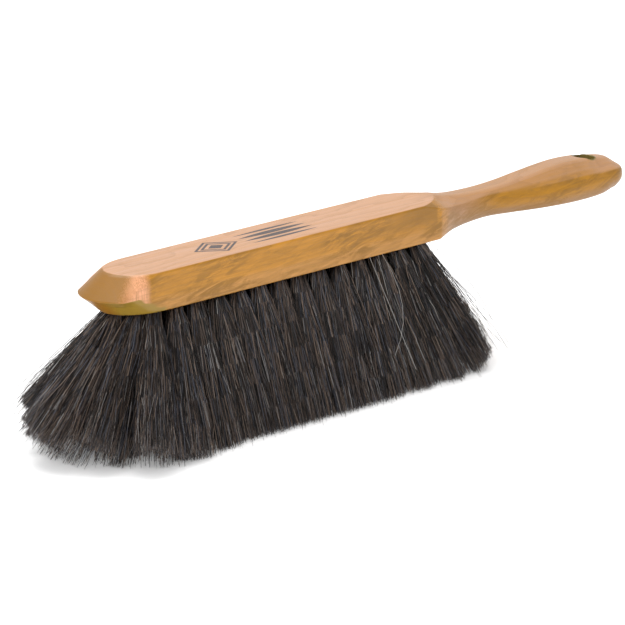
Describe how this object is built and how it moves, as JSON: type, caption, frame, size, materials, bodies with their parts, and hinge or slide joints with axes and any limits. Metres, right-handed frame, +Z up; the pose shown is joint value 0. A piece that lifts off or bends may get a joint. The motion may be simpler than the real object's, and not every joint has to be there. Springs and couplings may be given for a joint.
{
  "type": "neck duster brush",
  "caption": "Wooden-handled duster brush with rows of long horsehair tufts, for brushing cut hair from the neck or chair.",
  "frame": {"origin": "centre of the bounding box in plan, at the level of the flat trimmed hair ends, which the brush stands on", "axes": "+X from the pointed nose to the round end of the handle, +Z up from the hair ends to the flat top of the block, +Y across the block"},
  "size_m": [0.3768, 0.094, 0.0822],
  "materials": {
    "wood": "clear gloss varnish over straight-grained hardwood",
    "horsehair": "mixed black, brown and grey horsehair, slightly glossy",
    "anchor_wire": "plain flat wire"
  },
  "bodies": {
    "root": {"block_handle": "wood", "tuft_row_01": "horsehair", "tuft_row_02": "horsehair", "tuft_row_03": "horsehair", "tuft_row_04": "horsehair", "tuft_row_05": "horsehair", "tuft_row_06": "horsehair", "tuft_row_07": "horsehair", "tuft_row_08": "horsehair", "tuft_row_09": "horsehair", "tuft_row_10": "horsehair", "tuft_row_11": "horsehair", "tuft_row_12": "horsehair", "tuft_row_13": "horsehair", "tuft_row_14": "horsehair", "tuft_row_15": "horsehair", "anchor_row_01": "anchor_wire", "anchor_row_02": "anchor_wire", "anchor_row_03": "anchor_wire", "anchor_row_04": "anchor_wire", "anchor_row_05": "anchor_wire", "anchor_row_06": "anchor_wire", "anchor_row_07": "anchor_wire", "anchor_row_08": "anchor_wire", "anchor_row_09": "anchor_wire", "anchor_row_10": "anchor_wire", "anchor_row_11": "anchor_wire", "anchor_row_12": "anchor_wire", "anchor_row_13": "anchor_wire", "anchor_row_14": "anchor_wire", "anchor_row_15": "anchor_wire"}
  },
  "joints": []
}
